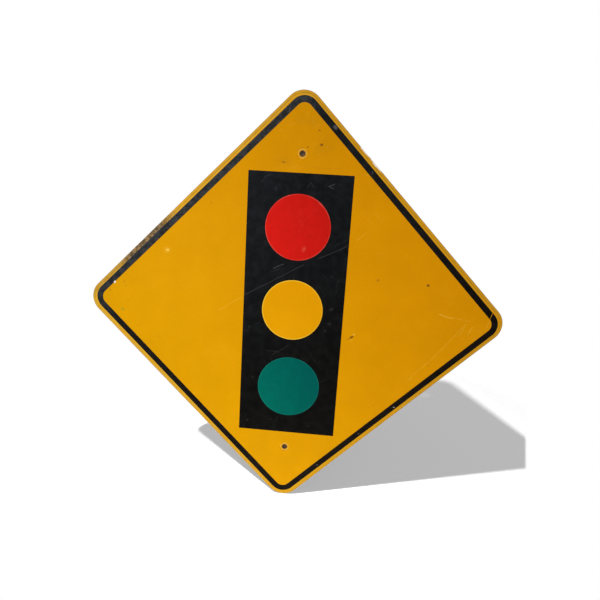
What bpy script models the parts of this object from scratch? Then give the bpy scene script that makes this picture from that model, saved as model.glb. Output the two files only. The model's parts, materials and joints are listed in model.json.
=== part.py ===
"""A diamond-shaped "signals ahead" road sign, 24 inches on a side, built as the layers it is made of.

Metres, +Z up, +X to the viewer's right, and the printed face looks towards -Y.
The origin is the middle of the aluminium blank's back face, where the sign meets its post.
"""

import math

import bmesh
import bpy

INCH = 0.0254

# The aluminium blank: a square stood on one corner, with two bolt holes on its upright diagonal.
BLANK_SIDE = 24 * INCH
BLANK_CORNER_RADIUS = 1.5 * INCH
BLANK_THICKNESS = 0.080 * INCH
BLANK_EDGE_ROUNDING = 0.00025
BOLT_HOLE_DIAMETER = 0.375 * INCH
BOLT_HOLE_SPACING = 23.8125 * INCH

# The layers on its face. Each lies over the one before with a hair of clearance.
SHEETING_THICKNESS = 0.00025
FILM_THICKNESS = 0.00015
LAYER_CLEARANCE = 0.00005
SHEETING_SETBACK = 0.0005
SHEETING_HOLE_CLEARANCE = 0.0003

# The black border, which runs parallel to the blank's edge.
MARGIN = 0.36 * INCH
BORDER_WIDTH = 0.475 * INCH

# The black signal panel, its round opening for the yellow light, and the red and green discs.
PANEL_WIDTH = 7.975 * INCH
PANEL_HEIGHT = 21.065 * INCH
OPENING_DIAMETER = 4.84 * INCH
DISC_DIAMETER = 5.045 * INCH
LIGHT_SPACING = 6.5 * INCH

# How far the holes and each layer are out of true, as slips to the (right, up) in metres and clockwise tilts.
BOLT_HOLE_SLIP = (0.00085, 0.0004)
BOLT_HOLE_TILT = math.radians(0.27)
GRAPHICS_SLIP = (0.00015, -0.00055)
GRAPHICS_TILT = math.radians(0.17)
PANEL_SLIP = (0.0010, 0.0007)
OPENING_SLIP = (-0.0017, -0.0004)
RED_SLIP = (0.0008, 0.0003)
GREEN_SLIP = (0.0005, 0.0014)

CORNER_STEPS = 16
HOLE_STEPS = 48
LIGHT_STEPS = 128
ROUNDING_STEPS = 1
SMOOTH_BELOW = math.radians(30)


def clear_scene():
    for old in list(bpy.data.objects):
        bpy.data.objects.remove(old, do_unlink=True)


def make_collection(name):
    collection = bpy.data.collections.new(name)
    bpy.context.scene.collection.children.link(collection)
    return collection


def make_material(name, colour, roughness, metallic=0.0):
    material = bpy.data.materials.new(name)
    material.use_nodes = True
    shader = material.node_tree.nodes["Principled BSDF"]
    shader.inputs["Base Color"].default_value = (*colour, 1.0)
    shader.inputs["Roughness"].default_value = roughness
    shader.inputs["Metallic"].default_value = metallic
    material.diffuse_color = (*colour, 1.0)
    return material


def circle(diameter, steps, centre=(0.0, 0.0)):
    """Points round a circle, anticlockwise as seen from the front."""
    turns = [2 * math.pi * step / steps for step in range(steps)]
    return [
        (centre[0] + diameter / 2 * math.cos(turn), centre[1] + diameter / 2 * math.sin(turn))
        for turn in turns
    ]


def rounded_diamond(side, radius):
    """Points round a square stood on its corner, with rounded corners."""
    reach = (side / 2 - radius) * math.sqrt(2)
    points = []
    for corner in range(4):
        facing = corner * math.pi / 2
        for step in range(CORNER_STEPS + 1):
            turn = facing - math.pi / 4 + step / CORNER_STEPS * math.pi / 2
            x = reach * math.cos(facing) + radius * math.cos(turn)
            z = reach * math.sin(facing) + radius * math.sin(turn)
            points.append((x, z))
    return points


def rectangle(width, height):
    """The four corners of an upright rectangle."""
    return [(sx * width / 2, sz * height / 2) for sx, sz in ((1, -1), (1, 1), (-1, 1), (-1, -1))]


def bolt_holes(diameter):
    """The two bolt-hole outlines, one near the top corner and one near the bottom."""
    across = BOLT_HOLE_SPACING / 2 * math.sin(BOLT_HOLE_TILT)
    rise = BOLT_HOLE_SPACING / 2 * math.cos(BOLT_HOLE_TILT)
    return [
        circle(diameter, HOLE_STEPS, (BOLT_HOLE_SLIP[0] + end * across, BOLT_HOLE_SLIP[1] + end * rise))
        for end in (1, -1)
    ]


def stand_upright(thing, parent, back_depth, thickness, slip):
    """Turns a flat piece drawn in X and Y to face -Y, with its back at that depth in front of the origin."""
    thing.parent = parent
    thing.rotation_euler = (math.pi / 2, 0.0, 0.0)
    thing.location = (slip[0], -(back_depth + thickness / 2), slip[1])


def make_sheet(
    name, outlines, back_depth, thickness, material, collection, parent, slip=(0.0, 0.0), rounding=0.0
):
    """A flat sheet: the first outline is its edge and any others are holes through it."""
    drawing = bpy.data.curves.new(name, "CURVE")
    drawing.dimensions = "2D"
    drawing.fill_mode = "BOTH"
    drawing.extrude = thickness / 2 - rounding
    drawing.bevel_depth = rounding
    drawing.bevel_resolution = ROUNDING_STEPS
    drawing.offset = -rounding
    for outline in outlines:
        spline = drawing.splines.new("POLY")
        spline.points.add(len(outline) - 1)
        for point, (x, z) in zip(spline.points, outline):
            point.co = (x, z, 0.0, 1.0)
        spline.use_cyclic_u = True
    drawing.materials.append(material)
    sheet = bpy.data.objects.new(name, drawing)
    collection.objects.link(sheet)
    stand_upright(sheet, parent, back_depth, thickness, slip)
    return sheet


def make_disc(name, diameter, back_depth, thickness, material, collection, parent, slip):
    """A round piece of film."""
    cutting = bmesh.new()
    bmesh.ops.create_cone(
        cutting,
        cap_ends=True,
        segments=LIGHT_STEPS,
        radius1=diameter / 2,
        radius2=diameter / 2,
        depth=thickness,
    )
    mesh = bpy.data.meshes.new(name)
    cutting.to_mesh(mesh)
    cutting.free()
    mesh.materials.append(material)
    mesh.shade_smooth()
    mesh.set_sharp_from_angle(angle=SMOOTH_BELOW)
    disc = bpy.data.objects.new(name, mesh)
    collection.objects.link(disc)
    stand_upright(disc, parent, back_depth, thickness, slip)
    return disc


def make_empty(name, collection, parent=None, location=(0.0, 0.0, 0.0), rotation=(0.0, 0.0, 0.0)):
    empty = bpy.data.objects.new(name, None)
    collection.objects.link(empty)
    empty.parent = parent
    empty.location = location
    empty.rotation_euler = rotation
    empty.empty_display_size = INCH
    return empty


def build_blank(collection, centre):
    """The plate that carries everything, with its edges eased."""
    aluminium = make_material("bare_aluminium", (0.58, 0.59, 0.60), 0.42, metallic=1.0)
    outlines = [rounded_diamond(BLANK_SIDE, BLANK_CORNER_RADIUS), *bolt_holes(BOLT_HOLE_DIAMETER)]
    make_sheet(
        "sign_blank",
        outlines,
        0.0,
        BLANK_THICKNESS,
        aluminium,
        collection,
        centre,
        rounding=BLANK_EDGE_ROUNDING,
    )
    return BLANK_THICKNESS


def build_sheeting(collection, centre, back_depth):
    """The yellow reflective sheeting, cut just short of the blank's edge and round the bolt holes."""
    yellow = make_material("yellow_sheeting", (0.74, 0.34, 0.003), 0.38)
    outlines = [
        rounded_diamond(BLANK_SIDE - 2 * SHEETING_SETBACK, BLANK_CORNER_RADIUS - SHEETING_SETBACK),
        *bolt_holes(BOLT_HOLE_DIAMETER + 2 * SHEETING_HOLE_CLEARANCE),
    ]
    make_sheet(
        "yellow_sheeting", outlines, back_depth, SHEETING_THICKNESS, yellow, collection, centre
    )
    return back_depth + SHEETING_THICKNESS


def build_border(collection, graphics, back_depth):
    """The black line that follows the edge, with corners struck from the blank's own corner centres."""
    black = make_material("border_black", (0.014, 0.016, 0.018), 0.45)
    outlines = [
        rounded_diamond(BLANK_SIDE - 2 * inset, BLANK_CORNER_RADIUS - inset)
        for inset in (MARGIN, MARGIN + BORDER_WIDTH)
    ]
    make_sheet("black_border", outlines, back_depth, FILM_THICKNESS, black, collection, graphics)


def build_panel(collection, graphics, back_depth):
    """The black signal shape. The yellow light is the sheeting seen through its round opening."""
    black = make_material("panel_black", (0.009, 0.009, 0.011), 0.4)
    outlines = [
        rectangle(PANEL_WIDTH, PANEL_HEIGHT),
        circle(OPENING_DIAMETER, LIGHT_STEPS, OPENING_SLIP),
    ]
    make_sheet(
        "signal_panel",
        outlines,
        back_depth,
        FILM_THICKNESS,
        black,
        collection,
        graphics,
        slip=PANEL_SLIP,
    )
    return back_depth + FILM_THICKNESS


def build_lights(collection, graphics, back_depth):
    """The red and green discs, laid over the panel above and below its opening."""
    lights = (
        ("red_disc", (0.59, 0.010, 0.006), LIGHT_SPACING, RED_SLIP),
        ("green_disc", (0.001, 0.125, 0.095), -LIGHT_SPACING, GREEN_SLIP),
    )
    for name, colour, height, slip in lights:
        material = make_material(name, colour, 0.4)
        make_disc(
            name,
            DISC_DIAMETER,
            back_depth,
            FILM_THICKNESS,
            material,
            collection,
            graphics,
            (slip[0], height + slip[1]),
        )


def main():
    clear_scene()
    collection = make_collection("signals_ahead_sign")
    centre = make_empty("sign_centre", collection)
    graphics = make_empty(
        "graphics_register",
        collection,
        parent=centre,
        location=(GRAPHICS_SLIP[0], 0.0, GRAPHICS_SLIP[1]),
        rotation=(0.0, GRAPHICS_TILT, 0.0),
    )
    blank_face = build_blank(collection, centre)
    sheeting_face = build_sheeting(collection, centre, blank_face + LAYER_CLEARANCE)
    build_border(collection, graphics, sheeting_face + LAYER_CLEARANCE)
    panel_face = build_panel(collection, graphics, sheeting_face + LAYER_CLEARANCE)
    build_lights(collection, graphics, panel_face + LAYER_CLEARANCE)


main()
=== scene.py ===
"""The looks of the weathered "signals ahead" sign: finishes, chips, scratches, light, floor and camera."""

import json
import math
import random

import bmesh
import bpy
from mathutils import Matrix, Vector


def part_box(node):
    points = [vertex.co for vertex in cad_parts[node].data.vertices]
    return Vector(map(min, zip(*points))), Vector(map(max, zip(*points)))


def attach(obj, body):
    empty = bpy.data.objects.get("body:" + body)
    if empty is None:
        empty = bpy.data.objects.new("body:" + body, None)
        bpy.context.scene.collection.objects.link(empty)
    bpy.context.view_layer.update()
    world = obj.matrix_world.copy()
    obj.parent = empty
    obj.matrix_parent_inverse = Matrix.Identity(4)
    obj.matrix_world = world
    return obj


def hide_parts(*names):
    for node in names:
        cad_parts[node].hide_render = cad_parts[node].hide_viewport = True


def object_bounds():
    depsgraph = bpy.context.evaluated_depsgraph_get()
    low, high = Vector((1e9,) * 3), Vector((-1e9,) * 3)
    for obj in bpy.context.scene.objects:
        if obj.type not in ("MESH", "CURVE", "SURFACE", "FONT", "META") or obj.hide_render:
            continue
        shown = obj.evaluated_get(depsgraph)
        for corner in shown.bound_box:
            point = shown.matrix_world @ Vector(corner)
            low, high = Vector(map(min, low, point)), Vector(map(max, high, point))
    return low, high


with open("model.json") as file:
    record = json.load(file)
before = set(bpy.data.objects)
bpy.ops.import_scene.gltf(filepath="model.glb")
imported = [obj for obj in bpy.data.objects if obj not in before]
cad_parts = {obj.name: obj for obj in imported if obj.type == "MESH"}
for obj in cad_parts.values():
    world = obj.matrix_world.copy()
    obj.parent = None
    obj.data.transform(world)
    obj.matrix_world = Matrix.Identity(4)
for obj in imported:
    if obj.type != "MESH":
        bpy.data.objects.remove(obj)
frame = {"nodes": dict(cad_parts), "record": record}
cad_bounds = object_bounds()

INCH = 0.0254
SLANT = math.sqrt(0.5)

# The sign's outline: how far its sides are from its middle, and its corner radius, in inches.
HALF_SIDE = 12.0
CORNER_RADIUS = 1.5

# The panel's opening, which is the yellow light: its middle and radius (right, up, radius) in inches.
OPENING = (-0.022, -0.010, 2.42)

# Marks lie in the plane of the sign, in inches to the right of and above its middle.
# A spot is (right, up, half length, half width, tilt in degrees). A line is a chain of (right, up) points.

# Chips: through the sheeting and the border, through the border alone, and out of the sheeting's edge.
BORDER_CHIPS = [
    (-14.49, 1.28, 0.13, 0.10, 35),
    (8.76, -7.52, 0.08, 0.04, 30),
]
BORDER_SLITS = [(15.43, 0.75, 0.78, 0.026, 76)]
EDGE_CHIPS = [
    (4.72, 12.25, 0.62, 0.12, -45),
    (5.62, 11.35, 0.74, 0.16, -45),
    (-9.70, 7.28, 0.30, 0.05, 45),
    (-12.10, 4.88, 0.24, 0.05, 45),
]
CHIP_SEED = 5
CHIP_STEPS = 12
CHIP_STEPS_PER_INCH = 16
CHIP_RAGGEDNESS = (0.62, 1.0)
CUT_OVERSHOOT = 0.0002

# Marks on the yellow sheeting.
HAIR_SCRATCHES_ON_YELLOW = [
    [(-6.0, -0.5), (-5.1, 0.15), (-4.1, 0.8)],
    [(4.6, 5.8), (5.3, 6.4)],
    [(13.6, -0.1), (12.9, -1.0), (12.2, -2.0), (11.5, -2.9), (10.9, -3.6), (10.2, -4.4), (9.4, -5.4)],
    [(13.55, -0.35), (13.1, -1.15)],
    [(14.1, -0.3), (13.8, -1.0)],
    [(12.55, 0.3), (13.9, 0.1)],
    [(15.63, 1.6), (15.56, 1.27)],
    [(15.31, 0.3), (15.18, -0.25)],
]
PALE_STREAKS_ON_YELLOW = [[(11.5, 0.55), (11.95, 0.37), (12.55, 0.27)]]
DARK_LINES_ON_YELLOW = [
    [(0.3, 11.05), (1.4, 10.95), (3.0, 11.0)],
    [(1.5, 12.55), (2.5, 12.3)],
    [(-1.6, 11.3), (-0.9, 11.2)],
]
GOUGE_LINE = [[(4.50, -2.07), (4.90, -1.80)]]
DARK_SPOTS = [
    (10.35, 2.72, 0.16, 0.14, 0),
    (4.84, -1.86, 0.23, 0.12, 35),
    (1.25, 13.6, 0.10, 0.08, 0),
    (1.45, 12.6, 0.15, 0.11, 30),
    (0.45, 12.4, 0.12, 0.05, 20),
    (-1.3, 11.25, 0.16, 0.06, -10),
]
FAINT_DARK_SPOTS = [
    (6.5, 2.85, 0.16, 0.13, 0),
    (-13.7, 1.4, 0.10, 0.07, 20),
    (-13.6, 1.05, 0.08, 0.06, 0),
    (-14.9, 0.6, 0.12, 0.09, 0),
    (-13.4, -0.2, 0.09, 0.05, 0),
    (-12.6, -2.2, 0.08, 0.06, 0),
    (-10.9, -3.0, 0.07, 0.05, 0),
    (-6.7, 8.0, 0.09, 0.06, 0),
    (11.1, -3.7, 0.08, 0.06, 0),
    (7.1, -7.5, 0.08, 0.06, 0),
    (6.8, -7.7, 0.07, 0.05, 0),
    (2.6, 14.28, 0.22, 0.10, -45),
    (3.3, 13.58, 0.18, 0.10, -45),
    (15.8, -0.85, 0.14, 0.09, -70),
]
PALE_SPOTS_ON_YELLOW = [
    (4.99, -1.62, 0.13, 0.06, 30),
    (4.88, -2.14, 0.09, 0.05, 20),
    (-10.13, 4.15, 0.13, 0.11, 0),
]
GLOWS_ON_YELLOW = [
    (-10.15, 4.15, 0.42, 0.34, 0),
    (1.9, 12.45, 0.12, 0.06, -15),
]
GREEN_STAINS = [(-13.87, -0.92, 0.26, 0.20, 0)]
CLOUDS_ON_YELLOW = [
    (-1.4, 11.3, 1.3, 0.7, 10),
    (1.5, 12.5, 1.2, 0.9, 30),
    (0.5, 14.2, 1.6, 0.6, 0),
]

# Marks on the border, the panel and the red disc.
SCUFFS_ON_BORDER = [
    (2.38, 13.86, 0.28, 0.18, -45),
    (5.34, 10.84, 0.16, 0.05, 75),
    (8.72, -7.50, 0.16, 0.09, 30),
    (6.08, -10.12, 0.13, 0.09, 60),
    (2.85, -13.33, 0.14, 0.09, 45),
]
LONG_SCRATCHES_ON_PANEL = [
    [(-3.95, 0.95), (-2.0, 2.08), (-0.2, 3.15), (0.65, 3.66)],
    [(1.75, 4.2), (2.6, 4.62), (3.95, 5.3)],
]
SCUFF_LINES_ON_PANEL = [
    [(2.62, 9.86), (2.2, 9.66), (2.55, 9.5)],
    [(-1.7, 3.25), (-0.9, 3.65)],
]
FAINT_LINES_ON_PANEL = [
    [(-1.4, -3.8), (-0.2, -2.95)],
    [(0.6, 9.5), (0.85, 9.9), (1.1, 9.6)],
    [(-2.9, 9.7), (-2.6, 10.1), (-2.2, 10.3)],
    [(-1.9, 2.95), (-1.1, 3.3)],
    [(-1.9, -3.5), (-0.9, -3.55)],
]
SMUDGES_ON_PANEL = [
    (3.1, 0.3, 0.30, 0.20, 30),
    (3.0, -0.9, 0.24, 0.14, 0),
    (2.7, -1.5, 0.22, 0.12, 20),
    (-3.4, -1.6, 0.18, 0.14, 0),
    (1.85, -9.8, 0.20, 0.12, 20),
    (-3.3, -9.7, 0.20, 0.12, 60),
    (-1.3, -9.5, 0.17, 0.11, 0),
    (-1.75, 9.3, 0.14, 0.20, 0),
    (2.9, 2.9, 0.14, 0.10, 0),
    (-3.0, -5.9, 0.13, 0.16, 0),
]
PALE_SPOTS_ON_RED = [
    (0.62, 4.88, 0.34, 0.22, 70),
    (1.6, 8.45, 0.60, 0.12, -48),
]
LINES_ON_RED = [[(0.1, 6.2), (0.7, 7.2), (1.3, 8.0)]]

# Fields of hair scratches: (direction in degrees, length, spacing, width, cover, noise offset).
HAIRS_ON_YELLOW = [
    (33, 5.0, 0.16, 0.012, 0.05, 2.0),
    (-52, 4.0, 0.14, 0.010, 0.02, 7.0),
    (5, 6.0, 0.20, 0.010, 0.00, 13.0),
]
HAIRS_ON_BLACK = [
    (33, 5.0, 0.15, 0.012, 0.08, 4.0),
    (-48, 4.0, 0.13, 0.010, 0.05, 17.0),
    (70, 3.0, 0.12, 0.010, 0.03, 29.0),
]
HAIRS_ON_LIGHTS = [
    (33, 5.0, 0.15, 0.012, 0.08, 6.0),
    (-55, 4.0, 0.13, 0.010, 0.04, 23.0),
]
HAIRS_ON_METAL = [
    (12, 5.0, 0.18, 0.014, 0.08, 61.0),
    (-63, 5.0, 0.16, 0.012, 0.05, 71.0),
    (80, 6.0, 0.20, 0.012, 0.02, 83.0),
]

# Colours, as linear red, green and blue.
# The yellow darkens from lower left to upper right, partly by fading and partly by painted shade.
YELLOW_AT_LOWER_LEFT = (0.735, 0.343, 0.0012)
YELLOW_AT_UPPER_RIGHT = (0.690, 0.278, 0.0008)
BRIGHT_YELLOW = (0.93, 0.60, 0.05)
CLOUDED_YELLOW = (0.42, 0.19, 0.004)
YELLOW_HAIR = (0.82, 0.48, 0.05)
YELLOW_SCRATCH = (0.86, 0.52, 0.05)
YELLOW_STREAK = (0.88, 0.56, 0.07)
YELLOW_GLOW = (0.86, 0.52, 0.06)
YELLOW_PALE_SPOT = (0.90, 0.60, 0.10)
GREEN_STAIN = (0.33, 0.28, 0.01)
DIRTY_LINE = (0.36, 0.14, 0.010)
SPECK = (0.22, 0.085, 0.012)
DARK_SPOT = (0.15, 0.055, 0.010)
GOUGE = (0.14, 0.08, 0.01)
PALE_MARGIN = (0.69, 0.43, 0.050)
DULL_MARGIN = (0.58, 0.335, 0.020)
DARK_GRIME = (0.046, 0.040, 0.028)
LIGHT_GRIME = (0.27, 0.180, 0.105)
EDGE_DIRT = (0.17, 0.10, 0.025)
RUBBED_BY_BOLT = (0.80, 0.54, 0.10)
# Stains round the bolt holes, and dirt with painted shade at their edges.
BOLT_STAIN_AND_SHADE = (0.16, 0.07, 0.02)
# Each black goes from its deep colour to a painted sheen, lighter and bluer, towards the upper left.
BORDER_DEEP = (0.0062, 0.0048, 0.0038)
BORDER_PAINTED_SHEEN = (0.0085, 0.0090, 0.0098)
PANEL_DEEP = (0.0038, 0.0036, 0.0032)
PANEL_PAINTED_SHEEN = (0.0066, 0.0075, 0.0092)
BLACK_HAIR = (0.10, 0.11, 0.11)
BLACK_SCRATCH = (0.17, 0.17, 0.15)
BLACK_SMUDGE = (0.15, 0.14, 0.16)
BLACK_HAZE = (0.100, 0.108, 0.115)
BROWNED_BLACK = (0.024, 0.014, 0.008)
RED_AT_LOWER_LEFT = (0.600, 0.0100, 0.0066)
RED_AT_UPPER_RIGHT = (0.490, 0.0082, 0.0052)
PALE_RED = (0.72, 0.10, 0.07)
GREEN_AT_LOWER_LEFT = (0.0006, 0.136, 0.097)
GREEN_AT_UPPER_RIGHT = (0.0004, 0.090, 0.077)
PALE_GREEN = (0.012, 0.20, 0.15)
BRIGHT_METAL = (0.62, 0.625, 0.62)
OXIDISED_METAL = (0.50, 0.505, 0.50)
METAL_BEHIND_POST = (0.66, 0.665, 0.66)
POST_DIRT = (0.20, 0.185, 0.16)
RAIN_RUN = (0.30, 0.29, 0.26)
WHITE_RUST = (0.78, 0.78, 0.76)
METAL_UNDER_WASHER = (0.72, 0.72, 0.71)
WASHER_STAIN = (0.24, 0.15, 0.09)
METAL_HAIR = (0.80, 0.80, 0.79)
# Pale oxide where chips show the front of the sheet, which also paints a glint of bare metal.
CHALKY_METAL_AND_GLINT = (0.76, 0.69, 0.63)
# Dirt and painted shade on the rim of metal that shows at each bolt hole.
DIRT_AND_SHADE_IN_HOLE = (0.05, 0.03, 0.025)
# The cards behind the bolt holes are painted shade: they stand for the shade seen through the holes.
HOLE_SHADE_COLOUR = (0.140, 0.090, 0.060)
FLOOR_COLOUR = (0.9, 0.9, 0.9)

# How deep the surface's bumps are, in metres, and how rough the floor and the cards are.
FILM_BUMP = 0.00006
METAL_BUMP = 0.00010
MATT = 0.9

# The camera and the lights, in metres, degrees and watts.
CAMERA_PLACE = (0.06207, -0.85402, 0.19378)
CAMERA_TURN_DEGREES = (78.6001, -3.3719, 3.9085)
CAMERA_LENS_MM = 25.996
SENSOR_WIDTH_MM = 36.0
AMBIENT = 0.54
SIGN_MIDDLE = (0.0, 0.0, 0.0)
LAMP_PLACE = (-0.770, -1.242, 1.559)
LAMP_SIZE = 0.06
LAMP_ON_ALL = 17.2
LAMP_ON_FLOOR = 22.0
FLOOR_LAMP_AIM = (0.50, 0.90, -0.4)
FLOOR_LAMP_SPREAD_DEGREES = 90.0
FILL_PLACE = (-0.34, -0.62, 0.10)
FILL_SIZE = 0.5
FILL_ON_SIGN = 1.7
BACK_LAMP_PLACE = (0.60, 1.20, 0.55)
BACK_LAMP_SIZE = 1.1
BACK_LAMP_ON_SIGN = 4.0

# The floor, in metres: a circle that fades at its rim, with a ridge along Y under the sign, from which it
# falls by so much a metre on each side. Its left and right ends each fade over a stretch of X, and the
# right end leans.
FLOOR_CENTRE = (0.15, 0.45)
FLOOR_RADIUS = 0.92
FLOOR_FADE = 0.20
FLOOR_STEPS = 96
FLOOR_RIGHT_FALL = 0.125
FLOOR_LEFT_FALL = 0.246
FLOOR_LEFT_END = (-0.34, -0.44)
FLOOR_RIGHT_END = (0.531, 0.542)
FLOOR_RIGHT_END_LEAN = 0.44

# The dark cards behind the bolt holes, and how far behind the sign they stand, in metres. They are painted
# shade: they stand for the shade seen through the holes.
CARD_RADIUS = 0.0075
CARD_STEPS = 32
CARD_GAP = 0.0015


def bolt_holes():
    """The middle of each bolt hole in inches, from the openings that the record states."""
    boxes = [opening["box_m"] for opening in frame["record"]["physics"]["openings"]]
    return [((low[0] + high[0]) / 2 / INCH, (low[2] + high[2]) / 2 / INCH) for low, high in boxes]


def round_light(node):
    """A disc's middle and radius (right, up, radius) in inches."""
    low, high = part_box(node)
    middle = (low + high) / 2 / INCH
    return (middle.x, middle.z, (high.x - low.x) / 2 / INCH)


BOLT_HOLES = bolt_holes()


class Finish:
    """One material's nodes. Each method adds to them and returns the socket that carries its result."""

    def __init__(self, name):
        self.material = bpy.data.materials.new(name)
        self.material.use_nodes = True
        self.tree = self.material.node_tree
        self.shader = self.tree.nodes["Principled BSDF"]
        place = self.node("TexCoord").outputs["Object"]
        self.inches = self.vector_math("SCALE", place, scale=1 / INCH)
        parts = self.node("SeparateXYZ")
        self.feed(parts.inputs[0], self.inches)
        self.right = parts.outputs["X"]
        self.depth = parts.outputs["Y"]
        self.up = parts.outputs["Z"]
        sheet = self.node("CombineXYZ")
        self.feed(sheet.inputs["X"], self.right)
        self.feed(sheet.inputs["Y"], self.up)
        self.plain = sheet.outputs[0]
        self.ragged = self.wavering(scale=9.0, detail=3.0, swing=0.16)
        self.drawn = self.wavering(scale=1.3, detail=1.0, swing=0.12)

    def node(self, kind, **settings):
        made = self.tree.nodes.new("ShaderNode" + kind)
        for key, value in settings.items():
            setattr(made, key, value)
        return made

    def feed(self, socket, value):
        if isinstance(value, bpy.types.NodeSocket):
            self.tree.links.new(value, socket)
        else:
            socket.default_value = value

    def math(self, operation, first, second=0.0, clamp=False):
        made = self.node("Math", operation=operation, use_clamp=clamp)
        self.feed(made.inputs[0], first)
        self.feed(made.inputs[1], second)
        return made.outputs[0]

    def vector_math(self, operation, first, second=(0.0, 0.0, 0.0), scale=None):
        made = self.node("VectorMath", operation=operation)
        self.feed(made.inputs[0], first)
        if scale is None:
            self.feed(made.inputs[1], second)
        else:
            self.feed(made.inputs["Scale"], scale)
        measured = operation in ("DOT_PRODUCT", "LENGTH", "DISTANCE")
        return made.outputs["Value" if measured else "Vector"]

    def product(self, *values):
        result = values[0]
        for value in values[1:]:
            result = self.math("MULTIPLY", result, value)
        return result

    def most(self, *values):
        result = values[0]
        for value in values[1:]:
            result = self.math("MAXIMUM", result, value)
        return result

    def ramp(self, value, low, high, bottom=0.0, top=1.0):
        """Goes smoothly from bottom to top as value goes from low to high."""
        made = self.node("MapRange", interpolation_type="SMOOTHSTEP")
        for name, setting in (
            ("Value", value),
            ("From Min", low),
            ("From Max", high),
            ("To Min", bottom),
            ("To Max", top),
        ):
            self.feed(made.inputs[name], setting)
        return made.outputs["Result"]

    def band(self, value, rise, fall):
        """Goes from 0 to 1 over the rise (low, high) and back to 0 over the fall (low, high)."""
        return self.product(self.ramp(value, rise[0], rise[1]), self.ramp(value, fall[1], fall[0]))

    def mix(self, factor, first, second):
        """Goes from the first colour to the second as factor goes from 0 to 1."""
        made = self.node("Mix", data_type="RGBA")
        self.feed(made.inputs[0], factor)
        for socket, colour in ((made.inputs[6], first), (made.inputs[7], second)):
            self.feed(socket, colour if isinstance(colour, bpy.types.NodeSocket) else (*colour, 1.0))
        return made.outputs[2]

    def paint(self, colour, share, strength, pigment):
        """Lays a pigment over the colour where share is 1, with that strength."""
        return self.mix(self.product(share, strength), colour, pigment)

    def shaded(self, colour, tone):
        return self.vector_math("SCALE", colour, scale=tone)

    def noise(self, scale, detail=3.0, roughness=0.5, stretch=(1.0, 1.0, 1.0), turn=0.0, offset=0.0):
        """Soft noise with that many features an inch, stretched along a direction in the sign's plane."""
        vector = self.inches
        if stretch != (1.0, 1.0, 1.0) or offset:
            mapping = self.node("Mapping", vector_type="TEXTURE")
            self.feed(mapping.inputs["Vector"], vector)
            mapping.inputs["Location"].default_value = (offset, offset, offset)
            mapping.inputs["Rotation"].default_value = (0.0, -math.radians(turn), 0.0)
            mapping.inputs["Scale"].default_value = stretch
            vector = mapping.outputs[0]
        made = self.node("TexNoise")
        self.feed(made.inputs["Vector"], vector)
        made.inputs["Scale"].default_value = scale
        made.inputs["Detail"].default_value = detail
        made.inputs["Roughness"].default_value = roughness
        return made.outputs[0]

    def wavering(self, scale, detail, swing):
        """The place in the sign's plane, shifted a little by noise, so that no mark has a ruled edge."""
        made = self.node("TexNoise")
        self.feed(made.inputs["Vector"], self.inches)
        made.inputs["Scale"].default_value = scale
        made.inputs["Detail"].default_value = detail
        shift = self.vector_math("SUBTRACT", made.outputs["Color"], (0.5, 0.5, 0.5))
        shift = self.vector_math("MULTIPLY", shift, (swing, swing, 0.0))
        return self.vector_math("ADD", self.plain, shift)

    def hairlines(self, turn, length, spacing, width, cover, offset):
        """Patches of fine scratches that run nearly the same way."""
        field = self.noise(1.0, 2.0, 0.45, (length, 1.0, spacing), turn, offset)
        line = self.ramp(self.math("ABSOLUTE", self.math("SUBTRACT", field, 0.5)), width, 0.0)
        patch = self.ramp(self.noise(0.32, 2.0, 0.5, offset=offset + 3.1), 0.62 - cover, 0.72 - cover)
        return self.product(line, patch)

    def hairs(self, fields):
        return self.most(*(self.hairlines(*field) for field in fields))

    def spot(self, mark):
        """1 at the middle of a spot and 0 from its outline on."""
        right, up, half_length, half_width, tilt = mark
        mapping = self.node("Mapping", vector_type="TEXTURE")
        mapping.inputs["Location"].default_value = (right, up, 0.0)
        mapping.inputs["Rotation"].default_value = (0.0, 0.0, math.radians(tilt))
        mapping.inputs["Scale"].default_value = (half_length, half_width, 1.0)
        self.feed(mapping.inputs["Vector"], self.ragged)
        gradient = self.node("TexGradient", gradient_type="SPHERICAL")
        self.feed(gradient.inputs[0], mapping.outputs[0])
        return gradient.outputs["Fac"]

    def spots(self, marks, edge=0.45):
        """1 inside the spots and 0 outside. The edge is the share of a spot that its soft rim takes."""
        return self.ramp(self.most(*(self.spot(mark) for mark in marks)), 0.0, edge)

    def segment(self, start, end):
        """The distance in inches from a straight line between two points."""
        start = Vector((*start, 0.0))
        run = Vector((*end, 0.0)) - start
        away = self.vector_math("SUBTRACT", self.drawn, tuple(start))
        share = self.vector_math("DOT_PRODUCT", away, tuple(run / run.length_squared))
        share = self.math("ADD", share, 0.0, clamp=True)
        nearest = self.vector_math("SCALE", tuple(run), scale=share)
        return self.vector_math("DISTANCE", away, nearest)

    def lines(self, chains, half_width, soft=0.02):
        """1 on the lines and 0 away from them."""
        distance = None
        for chain in chains:
            for start, end in zip(chain, chain[1:]):
                gap = self.segment(start, end)
                distance = gap if distance is None else self.math("MINIMUM", distance, gap)
        return self.ramp(distance, half_width + soft, max(half_width - soft, 0.0))

    def towards(self, right_share, up_share):
        """The sum of a share of the distance to the right and a share of the distance up."""
        across = self.math("MULTIPLY", self.right, right_share)
        rise = self.math("MULTIPLY", self.up, up_share)
        return self.math("ADD", across, rise)

    def from_middle(self):
        return self.vector_math("LENGTH", self.plain)

    def side_distance(self, across, rise):
        """How far out a point is towards one of the four sides, in inches."""
        return self.vector_math("DOT_PRODUCT", self.plain, (across * SLANT, rise * SLANT, 0.0))

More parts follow.
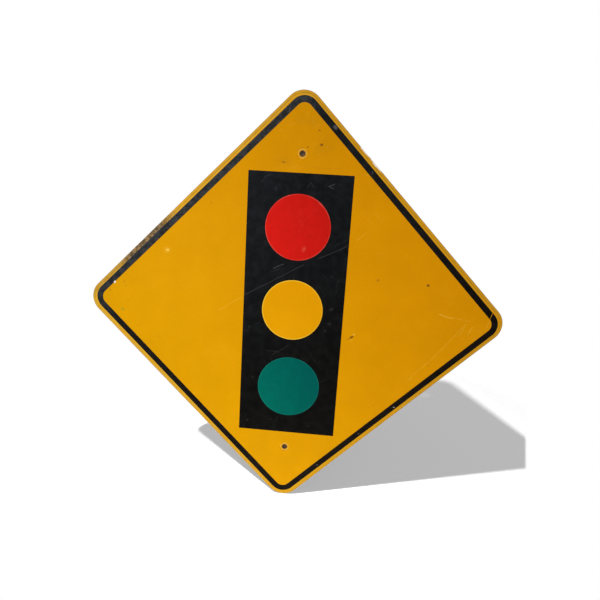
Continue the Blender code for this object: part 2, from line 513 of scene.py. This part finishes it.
    def edge_distance(self):
        """How far out a point is, in inches: 12 all along the rounded outline, and 10.5 well inside it."""
        straight = HALF_SIDE - CORNER_RADIUS
        past_corner = self.node("CombineXYZ")
        for axis, rise in (("X", 1), ("Y", -1)):
            reach = self.math("ABSOLUTE", self.side_distance(1, rise))
            past = self.math("SUBTRACT", reach, straight)
            self.feed(past_corner.inputs[axis], self.math("MAXIMUM", past, 0.0))
        return self.math("ADD", self.vector_math("LENGTH", past_corner.outputs[0]), straight)

    def rim(self, light, width):
        """1 at the rim of a round light and 0 further in than that width."""
        right, up, radius = light
        distance = self.vector_math("DISTANCE", self.plain, (right, up, 0.0))
        return self.ramp(distance, radius - width, radius - 0.3 * width)

    def hole_distance(self):
        """The distance in inches from the middle of the nearer bolt hole."""
        upper, lower = (
            self.vector_math("DISTANCE", self.plain, (right, up, 0.0)) for right, up in BOLT_HOLES
        )
        return self.math("MINIMUM", upper, lower)

    def film_height(self, scratched, grains_per_inch=18.0, grain_depth=0.2):
        """A finely grained film with grooves where it is scratched."""
        grain = self.math("MULTIPLY", self.noise(grains_per_inch, 2.0), grain_depth)
        return self.math("SUBTRACT", grain, self.math("MULTIPLY", scratched, 0.5))

    def finish(self, colour, roughness, height=None, bump_depth=FILM_BUMP, metallic=0.0, specular=0.5):
        self.feed(self.shader.inputs["Base Color"], colour)
        self.feed(self.shader.inputs["Roughness"], roughness)
        self.feed(self.shader.inputs["Metallic"], metallic)
        self.shader.inputs["Specular IOR Level"].default_value = specular
        if height is not None:
            bump = self.node("Bump")
            bump.inputs["Strength"].default_value = 1.0
            bump.inputs["Distance"].default_value = bump_depth
            self.feed(bump.inputs["Height"], height)
            self.feed(self.shader.inputs["Normal"], bump.outputs["Normal"])
        return self.material

    def clear_where(self, share):
        """Makes the surface see-through where share is 1."""
        choice = self.node("MixShader")
        self.feed(choice.inputs[0], share)
        self.feed(choice.inputs[1], self.shader.outputs[0])
        self.feed(choice.inputs[2], self.node("BsdfTransparent").outputs[0])
        self.feed(self.tree.nodes["Material Output"].inputs["Surface"], choice.outputs[0])


def faded_and_shaded_yellow(coat):
    """The field: darker towards the top and at both tips, with clouds of dirt round the upper hole. The
    change from lower left to upper right is partly fading and partly painted shade. Painted shade darkens
    the tips and the upper left, and painted light lifts the yellow inside the opening.
    """
    # From lower left to upper right the yellow darkens, partly by fading and partly by painted shade.
    colour = coat.mix(
        coat.ramp(coat.towards(0.8, 0.6), -16.0, 15.0), YELLOW_AT_LOWER_LEFT, YELLOW_AT_UPPER_RIGHT
    )
    # Tone: random patches, then painted shade that darkens both tips and the upper left, and painted light
    # that lifts the yellow inside the opening.
    tone = coat.product(
        coat.ramp(coat.noise(0.35, 4.0, 0.55), 0.25, 0.75, 0.965, 1.035),
        coat.ramp(coat.noise(11.0, 3.0, 0.6), 0.25, 0.75, 0.965, 1.035),
        coat.ramp(coat.math("ABSOLUTE", coat.up), 7.0, 15.0, 1.0, 0.93),
        coat.ramp(coat.towards(0.53, -0.85), -16.0, 16.0, 0.84, 0.99),
        coat.ramp(coat.from_middle(), 2.8, 2.4, 1.0, 1.07),
    )
    colour = coat.shaded(colour, tone)
    bright_rim = coat.product(
        coat.rim(OPENING, 0.10),
        coat.ramp(coat.right, 2.6, 0.5, 0.25, 0.7),
        coat.ramp(coat.from_middle(), 2.6, 2.5),
    )
    colour = coat.mix(bright_rim, colour, BRIGHT_YELLOW)
    clouds = coat.product(
        coat.spots(CLOUDS_ON_YELLOW, 1.0), coat.ramp(coat.noise(1.6, 4.0, 0.65), 0.35, 0.6)
    )
    return coat.paint(colour, clouds, 0.35, CLOUDED_YELLOW)


def scratch_yellow(coat, colour):
    """Adds hair scratches, streaks and pale spots. Also returns the hair scratches and the larger ones."""
    hairs = coat.hairs(HAIRS_ON_YELLOW)
    colour = coat.paint(colour, hairs, 0.22, YELLOW_HAIR)
    breaks = coat.ramp(coat.noise(1.6, 2.0), 0.35, 0.6, 0.5, 1.0)
    scratches = coat.product(coat.lines(HAIR_SCRATCHES_ON_YELLOW, 0.014), breaks)
    colour = coat.paint(colour, scratches, 0.50, YELLOW_SCRATCH)
    streaks = coat.lines(PALE_STREAKS_ON_YELLOW, 0.030, 0.03)
    colour = coat.paint(colour, streaks, 0.48, YELLOW_STREAK)
    colour = coat.paint(colour, coat.spots(GLOWS_ON_YELLOW, 1.0), 0.30, YELLOW_GLOW)
    colour = coat.paint(colour, coat.spots(PALE_SPOTS_ON_YELLOW), 0.62, YELLOW_PALE_SPOT)
    return colour, hairs, coat.most(scratches, streaks)


def stain_yellow(coat, colour):
    """Adds the green stain, dirty lines, specks, dark spots and the gouge."""
    colour = coat.paint(colour, coat.spots(GREEN_STAINS, 0.9), 0.65, GREEN_STAIN)
    colour = coat.paint(colour, coat.lines(DARK_LINES_ON_YELLOW, 0.02, 0.04), 0.20, DIRTY_LINE)
    fine_specks = coat.ramp(coat.noise(6.0, 2.0, 0.6, offset=21.0), 0.735, 0.775)
    specks = coat.most(coat.spots(FAINT_DARK_SPOTS, 0.6), coat.product(fine_specks, 0.6))
    colour = coat.paint(colour, specks, 0.45, SPECK)
    colour = coat.paint(colour, coat.spots(DARK_SPOTS, 0.5), 0.80, DARK_SPOT)
    return coat.paint(colour, coat.lines(GOUGE_LINE, 0.03, 0.03), 0.55, GOUGE)


def weather_margin(coat, colour):
    """Adds the faded margin, its grime at the upper left and its worn edge. Also returns the grime."""
    edge = coat.edge_distance()
    faded = coat.product(
        coat.ramp(edge, 11.60, 11.66), coat.ramp(coat.noise(1.7, 4.0, 0.65), 0.30, 0.60, 0.45, 1.0)
    )
    margin = coat.mix(coat.ramp(coat.right, -5.0, 4.0), PALE_MARGIN, DULL_MARGIN)
    colour = coat.paint(colour, faded, 0.50, margin)

    along = coat.side_distance(1, 1)
    stretch = coat.product(coat.ramp(along, -8.6, -6.6, 0.25, 1.0), coat.ramp(along, -1.0, -3.6))
    grime = coat.product(
        coat.ramp(coat.side_distance(-1, 1), 11.40, 11.62),
        stretch,
        coat.ramp(coat.noise(1.4, 4.0, 0.6), 0.25, 0.5, 0.72, 0.97),
    )
    blotches = coat.ramp(coat.noise(3.4, 5.0, 0.8, offset=35.0), 0.42, 0.60)
    colour = coat.mix(grime, colour, coat.mix(blotches, DARK_GRIME, LIGHT_GRIME))

    worn = coat.ramp(coat.noise(2.4, 3.0, 0.6, offset=5.0), 0.3, 0.6, 0.45, 1.0)
    outermost = coat.product(coat.ramp(edge, 11.91, 11.96), worn, 0.60)
    upper = coat.ramp(coat.up, -3.0, 3.0, 0.35, 0.75)
    crease = coat.product(coat.band(edge, (11.76, 11.79), (11.81, 11.84)), worn, upper)
    return coat.mix(coat.most(outermost, crease), colour, EDGE_DIRT), grime


def wear_round_holes(coat, colour):
    """Adds the pale ring that a bolt's head rubbed, the stains round it, and darkening at the hole's edge
    that is partly dirt and partly painted shade.
    """
    hole = coat.hole_distance()
    patchy = coat.ramp(coat.noise(5.0, 2.0), 0.35, 0.6, 0.3, 1.0)
    rubbed = coat.product(coat.band(hole, (0.25, 0.29), (0.33, 0.38)), patchy)
    colour = coat.paint(colour, rubbed, 0.42, RUBBED_BY_BOLT)
    broken = coat.ramp(coat.noise(4.0, 2.0, offset=9.0), 0.48, 0.56)
    ring = coat.product(coat.band(hole, (0.36, 0.39), (0.40, 0.44)), broken, 0.4)
    # Darker at the hole's edge: dirt and painted shade.
    inside = coat.ramp(hole, 0.265, 0.215, 0.0, 0.85)
    return coat.mix(coat.most(ring, inside), colour, BOLT_STAIN_AND_SHADE)


def yellow_finish():
    """Sun-faded yellow reflective sheeting, with painted shade and painted light in its field."""
    coat = Finish("aged_and_shaded_yellow_sheeting")
    colour, hairs, scratches = scratch_yellow(coat, faded_and_shaded_yellow(coat))
    colour, grime = weather_margin(coat, stain_yellow(coat, colour))
    colour = wear_round_holes(coat, colour)
    roughness = coat.ramp(coat.noise(1.1, 4.0, 0.6), 0.2, 0.8, 0.34, 0.50)
    roughness = coat.math("ADD", roughness, coat.product(coat.most(scratches, grime), 0.2))
    height = coat.film_height(coat.most(hairs, scratches), grains_per_inch=16.0, grain_depth=0.25)
    return coat.finish(colour, roughness, height, specular=0.01)


def weather_border(coat, colour):
    """Adds a grey haze along the upper left side, and browner ink in the lower half."""
    patchy = coat.ramp(coat.noise(3.2, 5.0, 0.75), 0.38, 0.62, 0.22, 1.0)
    hazy = coat.product(coat.ramp(coat.side_distance(-1, 1), 9.0, 10.9), patchy)
    colour = coat.paint(colour, hazy, 0.30, BLACK_HAZE)
    return coat.paint(colour, coat.product(coat.ramp(coat.up, 1.0, -3.0), patchy), 0.16, BROWNED_BLACK)


def black_film(name, deep, painted_sheen, smudges, rubbing, drawn=(), weathered=False):
    """Black screen ink with a painted bluish sheen that grows towards its upper left, duller in patches and
    scratched. Each of drawn is (lines, half width, strength).
    """
    coat = Finish(name)
    # Painted sheen: lighter and bluer towards the upper left.
    colour = coat.mix(coat.ramp(coat.towards(-0.5, 0.8), -8.0, 13.0), deep, painted_sheen)
    colour = coat.shaded(colour, coat.ramp(coat.noise(1.4, 4.0, 0.6), 0.3, 0.75, 0.7, 1.5))
    hairs = coat.hairs(HAIRS_ON_BLACK)
    colour = coat.paint(colour, hairs, 0.13, BLACK_HAIR)
    scratched = coat.product(hairs, 0.5)
    for chains, half_width, strength in drawn:
        scratches = coat.lines(chains, half_width)
        colour = coat.paint(colour, scratches, strength, BLACK_SCRATCH)
        scratched = coat.most(scratched, scratches)
    colour = coat.paint(colour, coat.spots(smudges, 1.0), rubbing, BLACK_SMUDGE)
    if weathered:
        colour = weather_border(coat, colour)
    roughness = coat.ramp(coat.noise(0.9, 4.0, 0.6), 0.25, 0.75, 0.36, 0.52)
    return coat.finish(colour, roughness, coat.film_height(scratched), specular=0.03)


def light_film(name, light, inner, outer, pale, lines=(), spots=()):
    """A coloured disc, a little darker towards its upper right, finely scratched and with a paler rim."""
    coat = Finish(name)
    from_light = coat.vector_math("SUBTRACT", coat.plain, (light[0], light[1], 0.0))
    across = coat.vector_math("DOT_PRODUCT", from_light, (0.7, 0.4, 0.0))
    across = coat.math("ADD", across, coat.product(coat.noise(0.6, 2.0), 1.5))
    colour = coat.mix(coat.ramp(across, -2.5, 3.5), inner, outer)
    tone = coat.product(
        coat.ramp(coat.noise(1.6, 4.0, 0.6), 0.25, 0.75, 0.95, 1.05),
        coat.ramp(coat.noise(12.0, 3.0, 0.6), 0.2, 0.8, 0.95, 1.05),
    )
    colour = coat.shaded(colour, tone)
    hairs = coat.hairs(HAIRS_ON_LIGHTS)
    colour = coat.paint(colour, hairs, 0.12, pale)
    if lines:
        colour = coat.paint(colour, coat.lines(lines, 0.015, 0.03), 0.06, pale)
    if spots:
        colour = coat.paint(colour, coat.spots(spots, 0.9), 0.35, pale)
    patchy = coat.ramp(coat.noise(0.7, 3.0), 0.4, 0.6, 0.15, 0.5)
    colour = coat.mix(coat.product(coat.rim(light, 0.09), patchy), colour, pale)
    roughness = coat.ramp(coat.noise(1.0, 4.0, 0.6), 0.25, 0.75, 0.34, 0.50)
    return coat.finish(colour, roughness, coat.film_height(hairs), specular=0.012)


def post_and_rain(coat, colour, bloom):
    """Adds the pale strip that a post covered, the dirt along its edges, and runs of rain."""
    wander = coat.product(coat.math("SUBTRACT", coat.noise(0.8, 3.0), 0.5), 0.22)
    beside = coat.math("ADD", coat.math("ABSOLUTE", coat.right), wander)
    colour = coat.paint(colour, coat.ramp(beside, 1.62, 1.42), 0.40, METAL_BEHIND_POST)
    colour = coat.paint(colour, coat.band(beside, (1.40, 1.52), (1.58, 1.74)), 0.45, POST_DIRT)
    runs = coat.noise(1.0, 4.0, 0.6, (0.30, 1.0, 7.0), offset=41.0)
    runs = coat.product(coat.ramp(runs, 0.56, 0.70), coat.ramp(bloom, 0.35, 0.55))
    return coat.paint(colour, runs, 0.35, RAIN_RUN)


def washer_marks(coat, colour, hole):
    """Adds the bright ring under each washer and the stain round it. Also returns the ring."""
    washer = coat.product(
        coat.ramp(hole, 0.46, 0.42), coat.ramp(coat.noise(5.0, 3.0), 0.3, 0.6, 0.4, 1.0)
    )
    colour = coat.paint(colour, washer, 0.5, METAL_UNDER_WASHER)
    halo = coat.product(
        coat.band(hole, (0.42, 0.48), (0.52, 0.80)),
        coat.ramp(coat.noise(3.0, 4.0, offset=3.0), 0.35, 0.65),
    )
    return coat.paint(colour, halo, 0.6, WASHER_STAIN), washer


def aluminium_finish():
    """Mill-finished sheet, oxidised on the back, and chalky where chips show it on the front: a pale oxide
    that also paints a glint of bare metal.
    """
    coat = Finish("weathered_aluminium_painted_glint_and_shade")
    grain = coat.noise(1.0, 4.0, 0.6, (9.0, 1.0, 0.035), 45)
    fine_grain = coat.noise(1.0, 3.0, 0.6, (3.0, 1.0, 0.012), 45, 11.0)
    bloom = coat.noise(0.45, 6.0, 0.62, offset=31.0)
    colour = coat.mix(coat.ramp(bloom, 0.36, 0.70), BRIGHT_METAL, OXIDISED_METAL)
    tone = coat.math(
        "ADD", coat.ramp(grain, 0.3, 0.7, 0.86, 1.0), coat.ramp(fine_grain, 0.3, 0.7, -0.06, 0.06)
    )
    colour = post_and_rain(coat, coat.shaded(colour, tone), bloom)
    white_rust = coat.ramp(coat.noise(2.6, 6.0, 0.7, offset=53.0), 0.60, 0.70)
    colour = coat.paint(colour, white_rust, 0.45, WHITE_RUST)
    hole = coat.hole_distance()
    colour, washer = washer_marks(coat, colour, hole)
    hairs = coat.hairs(HAIRS_ON_METAL)
    colour = coat.paint(colour, hairs, 0.6, METAL_HAIR)

    facing = coat.node("NewGeometry").outputs["Normal"]
    front = coat.ramp(coat.vector_math("DOT_PRODUCT", facing, (0.0, -1.0, 0.0)), 0.2, 0.9)
    # Where chips show the front: pale oxide with a painted glint of bare metal.
    colour = coat.mix(front, colour, CHALKY_METAL_AND_GLINT)
    # The metal's rim at each bolt hole is darkened: dirt and painted shade.
    colour = coat.mix(coat.product(front, coat.ramp(hole, 0.225, 0.205)), colour, DIRT_AND_SHADE_IN_HOLE)

    roughness = coat.ramp(bloom, 0.38, 0.66, 0.42, 0.62)
    roughness = coat.math("ADD", roughness, coat.product(front, 0.15))
    roughness = coat.math("SUBTRACT", roughness, coat.product(coat.most(hairs, washer), 0.12))
    roughness = coat.math("ADD", roughness, coat.product(white_rust, 0.15))
    height = coat.math("ADD", coat.product(fine_grain, 0.35), coat.product(white_rust, 0.4))
    height = coat.math("SUBTRACT", height, coat.product(hairs, 0.6))
    return coat.finish(colour, roughness, height, METAL_BUMP, metallic=coat.math("SUBTRACT", 1.0, front))


def ragged_outline(mark, draw):
    """Points round a chip: an ellipse with a broken edge, in metres."""
    right, up, half_length, half_width, tilt = mark
    steps = CHIP_STEPS + int(CHIP_STEPS_PER_INCH * half_length)
    turn = math.radians(tilt)
    points = []
    for step in range(steps):
        angle = 2 * math.pi * step / steps
        reach = draw.uniform(*CHIP_RAGGEDNESS)
        along = half_length * reach * math.cos(angle)
        across = half_width * reach * math.sin(angle)
        x = right + along * math.cos(turn) - across * math.sin(turn)
        z = up + along * math.sin(turn) + across * math.cos(turn)
        points.append((x * INCH, z * INCH))
    return points


def link_new(name, data):
    made = bpy.data.objects.new(name, data)
    bpy.context.scene.collection.objects.link(made)
    return made


def make_cutter(marks, front, back):
    """Ragged prisms that reach from front to back along Y, in one mesh."""
    draw = random.Random(CHIP_SEED)
    cutting = bmesh.new()
    for mark in marks:
        outline = ragged_outline(mark, draw)
        face = cutting.faces.new([cutting.verts.new((x, front, z)) for x, z in outline])
        pushed = bmesh.ops.extrude_face_region(cutting, geom=[face])["geom"]
        corners = [item for item in pushed if isinstance(item, bmesh.types.BMVert)]
        bmesh.ops.translate(cutting, verts=corners, vec=(0.0, back - front, 0.0))
    bmesh.ops.recalc_face_normals(cutting, faces=cutting.faces)
    mesh = bpy.data.meshes.new("chips")
    cutting.to_mesh(mesh)
    cutting.free()
    return link_new("chips", mesh)


def make_chipped(name, node, marks, material):
    """A copy of a flat layer with the chips cut through it, shown in place of the CAD node."""
    low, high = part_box(node)
    cutter = make_cutter(marks, low.y - CUT_OVERSHOOT, high.y + CUT_OVERSHOOT)
    carrier = link_new(name + "_uncut", frame["nodes"][node].data.copy())
    cut = carrier.modifiers.new("chips", "BOOLEAN")
    cut.operation = "DIFFERENCE"
    cut.object = cutter
    shapes = bpy.context.evaluated_depsgraph_get()
    mesh = bpy.data.meshes.new_from_object(carrier.evaluated_get(shapes))
    bpy.data.objects.remove(carrier)
    bpy.data.objects.remove(cutter)
    mesh.name = name
    mesh.materials.clear()
    mesh.materials.append(material)
    mesh.shade_flat()
    piece = link_new(name, mesh)
    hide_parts(node)
    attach(piece, "root")
    return piece


def repaint(node, material):
    """Gives a CAD node its finish."""
    piece = frame["nodes"][node]
    for place in piece.material_slots:
        place.material = material
    return piece


def make_pieces():
    yellow = yellow_finish()
    border_black = black_film(
        "aged_and_sheened_border_black",
        deep=BORDER_DEEP,
        painted_sheen=BORDER_PAINTED_SHEEN,
        smudges=SCUFFS_ON_BORDER,
        rubbing=0.62,
        weathered=True,
    )
    panel_black = black_film(
        "aged_and_sheened_panel_black",
        deep=PANEL_DEEP,
        painted_sheen=PANEL_PAINTED_SHEEN,
        smudges=SMUDGES_ON_PANEL,
        rubbing=0.10,
        drawn=(
            (LONG_SCRATCHES_ON_PANEL, 0.014, 0.20),
            (SCUFF_LINES_ON_PANEL, 0.030, 0.22),
            (FAINT_LINES_ON_PANEL, 0.030, 0.08),
        ),
    )
    red = light_film(
        "aged_red_film",
        light=round_light("red_disc"),
        inner=RED_AT_LOWER_LEFT,
        outer=RED_AT_UPPER_RIGHT,
        pale=PALE_RED,
        lines=LINES_ON_RED,
        spots=PALE_SPOTS_ON_RED,
    )
    green = light_film(
        "aged_green_film",
        light=round_light("green_disc"),
        inner=GREEN_AT_LOWER_LEFT,
        outer=GREEN_AT_UPPER_RIGHT,
        pale=PALE_GREEN,
    )
    sheeting_chips = BORDER_CHIPS + EDGE_CHIPS
    border_chips = BORDER_CHIPS + BORDER_SLITS
    return [
        repaint("sign_blank", aluminium_finish()),
        make_chipped("worn_yellow_sheeting", "yellow_sheeting", sheeting_chips, yellow),
        make_chipped("worn_black_border", "black_border", border_chips, border_black),
        repaint("signal_panel", panel_black),
        repaint("red_disc", red),
        repaint("green_disc", green),
    ]


def stage_coat(name, colour):
    """A plain matt finish."""
    coat = Finish(name)
    coat.finish((*colour, 1.0), MATT, specular=0.0)
    return coat


def make_floor(height):
    """A round pale floor, ridged under the sign, that fades into the white at each side and all round."""
    ridge = (0.0, FLOOR_CENTRE[1], height)
    reach = FLOOR_RADIUS + FLOOR_CENTRE[0]
    bpy.ops.mesh.primitive_circle_add(
        vertices=FLOOR_STEPS, radius=reach, fill_type="TRIFAN", location=ridge
    )
    floor = bpy.context.object
    floor.name = "studio_floor"
    for corner in floor.data.vertices:
        fall = FLOOR_RIGHT_FALL if corner.co.x > 0 else FLOOR_LEFT_FALL
        corner.co.z = -fall * abs(corner.co.x)
    coat = stage_coat("studio_floor", FLOOR_COLOUR)
    distance = coat.vector_math("DISTANCE", coat.inches, (FLOOR_CENTRE[0] / INCH, 0.0, 0.0))
    distance = coat.product(distance, INCH)
    x = coat.product(coat.right, INCH)
    y = coat.math("ADD", coat.product(coat.depth, INCH), FLOOR_CENTRE[1])
    leaning = coat.math("SUBTRACT", x, coat.product(y, FLOOR_RIGHT_END_LEAN))
    gone = coat.most(
        coat.ramp(distance, FLOOR_RADIUS - FLOOR_FADE, FLOOR_RADIUS),
        coat.ramp(x, *FLOOR_LEFT_END),
        coat.ramp(leaning, *FLOOR_RIGHT_END),
    )
    coat.clear_where(gone)
    floor.data.materials.append(coat.material)
    return floor


def make_hole_cards(back):
    """Small dark cards close behind the bolt holes, which can't be seen from behind. They are painted
    shade, standing for the shade seen through the holes.
    """
    coat = stage_coat("hole_shade_card", HOLE_SHADE_COLOUR)
    coat.clear_where(coat.node("NewGeometry").outputs["Backfacing"])
    for number, (right, up) in enumerate(BOLT_HOLES):
        place = (right * INCH, back + CARD_GAP, up * INCH)
        bpy.ops.mesh.primitive_circle_add(
            vertices=CARD_STEPS, radius=CARD_RADIUS, fill_type="NGON", location=place
        )
        card = bpy.context.object
        card.name = f"hole_shade_card_{number}"
        card.rotation_euler = (math.pi / 2, 0.0, 0.0)
        card.data.materials.append(coat.material)


def make_world():
    """Even light from all round, with white behind the object."""
    world = bpy.data.worlds.new("studio_air")
    world.use_nodes = True
    nodes = world.node_tree.nodes
    links = world.node_tree.links
    soft = nodes["Background"]
    white = nodes.new("ShaderNodeBackground")
    for background, strength in ((soft, AMBIENT), (white, 1.0)):
        background.inputs["Color"].default_value = (1.0, 1.0, 1.0, 1.0)
        background.inputs["Strength"].default_value = strength
    choice = nodes.new("ShaderNodeMixShader")
    seen = nodes.new("ShaderNodeLightPath")
    links.new(seen.outputs["Is Camera Ray"], choice.inputs[0])
    links.new(soft.outputs[0], choice.inputs[1])
    links.new(white.outputs[0], choice.inputs[2])
    links.new(choice.outputs[0], nodes["World Output"].inputs["Surface"])
    bpy.context.scene.world = world


def make_lamp(name, place, aim, size, power, receivers=None, spread=180.0):
    """A round lamp that lights everything, or only its receivers."""
    data = bpy.data.lights.new(name, "AREA")
    data.shape = "DISK"
    data.size = size
    data.energy = power
    data.spread = math.radians(spread)
    lamp = link_new(name, data)
    lamp.location = place
    lamp.rotation_euler = (Vector(aim) - Vector(place)).to_track_quat("-Z", "Y").to_euler()
    if receivers:
        group = bpy.data.collections.new(name + "_lights")
        for piece in receivers:
            group.objects.link(piece)
        lamp.light_linking.receiver_collection = group


def make_lights(pieces, floor):
    make_lamp("key", LAMP_PLACE, SIGN_MIDDLE, LAMP_SIZE, LAMP_ON_ALL)
    make_lamp(
        "key_on_floor",
        LAMP_PLACE,
        FLOOR_LAMP_AIM,
        LAMP_SIZE,
        LAMP_ON_FLOOR,
        receivers=[floor],
        spread=FLOOR_LAMP_SPREAD_DEGREES,
    )
    make_lamp("fill", FILL_PLACE, SIGN_MIDDLE, FILL_SIZE, FILL_ON_SIGN, receivers=pieces)
    make_lamp(
        "back_fill", BACK_LAMP_PLACE, SIGN_MIDDLE, BACK_LAMP_SIZE, BACK_LAMP_ON_SIGN, receivers=pieces
    )


def make_camera():
    data = bpy.data.cameras.new("view")
    data.sensor_width = SENSOR_WIDTH_MM
    data.lens = CAMERA_LENS_MM
    camera = link_new("view", data)
    camera.location = CAMERA_PLACE
    camera.rotation_euler = tuple(math.radians(turn) for turn in CAMERA_TURN_DEGREES)
    bpy.context.scene.camera = camera


make_camera()
pieces = make_pieces()
floor = make_floor(cad_bounds[0].z)
make_hole_cards(cad_bounds[1].y)
make_world()
make_lights(pieces, floor)
bpy.context.scene.view_settings.view_transform = "Standard"
